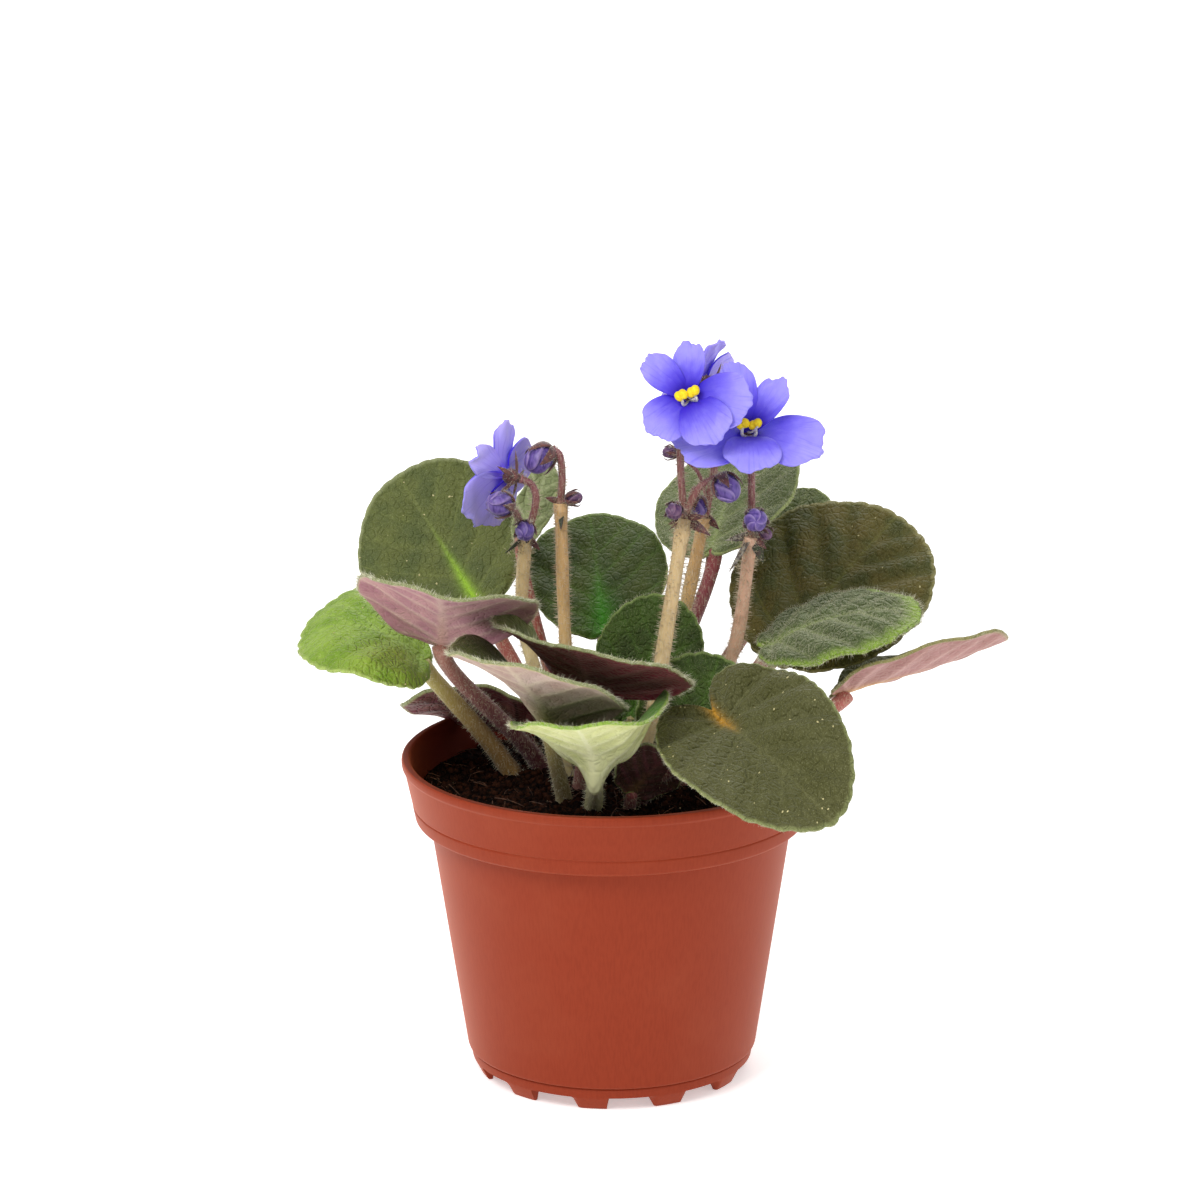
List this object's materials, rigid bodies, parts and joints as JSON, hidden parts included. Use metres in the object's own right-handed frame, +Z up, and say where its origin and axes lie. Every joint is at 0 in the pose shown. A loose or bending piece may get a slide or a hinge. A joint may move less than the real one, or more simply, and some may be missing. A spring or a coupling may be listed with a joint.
{
  "type": "potted african violet",
  "caption": "Flowering African violet with hairy round leaves, upright flower stalks and violet blooms, growing in soil in a round footed plastic nursery pot.",
  "frame": {"origin": "on the surface that the pot stands on, under the middle of the whole plant's bounding box; the pot's axis stands 12.5 mm to -X and 5 mm to +Y of it", "axes": "+Z up along the pot's axis, out of its mouth; +Y to the back of the plant; +X to the right when it is seen from the front"},
  "size_m": [0.2014, 0.1573, 0.2145],
  "materials": {
    "pot": "moulded polypropylene, terracotta colour, satin",
    "soil": "moist fibrous peat",
    "leaf_olive": "dark olive leaf, quilted and covered with fine hairs",
    "leaf_light": "light green young leaf with fine hairs",
    "leaf_grey": "grey green leaf under dense white hairs",
    "leaf_pink_under": "green leaf with a pink mauve underside",
    "leaf_purple_under": "green leaf with a dark purple underside",
    "stalk": "tan fleshy stalk with fine hairs",
    "petal": "violet blue petal with a soft sheen",
    "bud": "closed violet bud",
    "sepal": "red brown hairy sepals",
    "pollen": "yellow anthers"
  },
  "bodies": {
    "root": {"anthers_back": "pollen", "anthers_front": "pollen", "anthers_left": "pollen", "anthers_right": "pollen", "bud_back_tiny": "bud", "bud_left_high": "bud", "bud_left_low": "bud", "bud_left_open": "bud", "bud_left_tiny": "bud", "bud_middle": "bud", "bud_right": "bud", "bud_right_tiny": "bud", "bud_tall_low": "bud", "bud_tall_side": "bud", "calyx_back": "sepal", "calyx_front": "sepal", "calyx_left": "sepal", "calyx_right": "sepal", "corolla_back": "petal", "corolla_front": "petal", "corolla_left": "petal", "corolla_right": "petal", "leaf_back_hairy": "leaf_grey", "leaf_back_left": "leaf_olive", "leaf_back_middle": "leaf_olive", "leaf_back_right": "leaf_olive", "leaf_back_small": "leaf_olive", "leaf_bud_back": "leaf_olive", "leaf_centre_purple": "leaf_purple_under", "leaf_far_left": "leaf_light", "leaf_far_right": "leaf_pink_under", "leaf_front_pink": "leaf_pink_under", "leaf_front_right": "leaf_olive", "leaf_front_small": "leaf_light", "leaf_left_pink": "leaf_pink_under", "leaf_low_front": "leaf_purple_under", "leaf_low_left": "leaf_purple_under", "leaf_middle_small": "leaf_olive", "leaf_right_hairy": "leaf_grey", "leaf_right_inner": "leaf_olive", "peduncle_back": "stalk", "peduncle_left": "stalk", "peduncle_left_inner": "stalk", "peduncle_right": "stalk", "peduncle_tall": "stalk", "pot": "pot", "soil": "soil"}
  },
  "joints": []
}
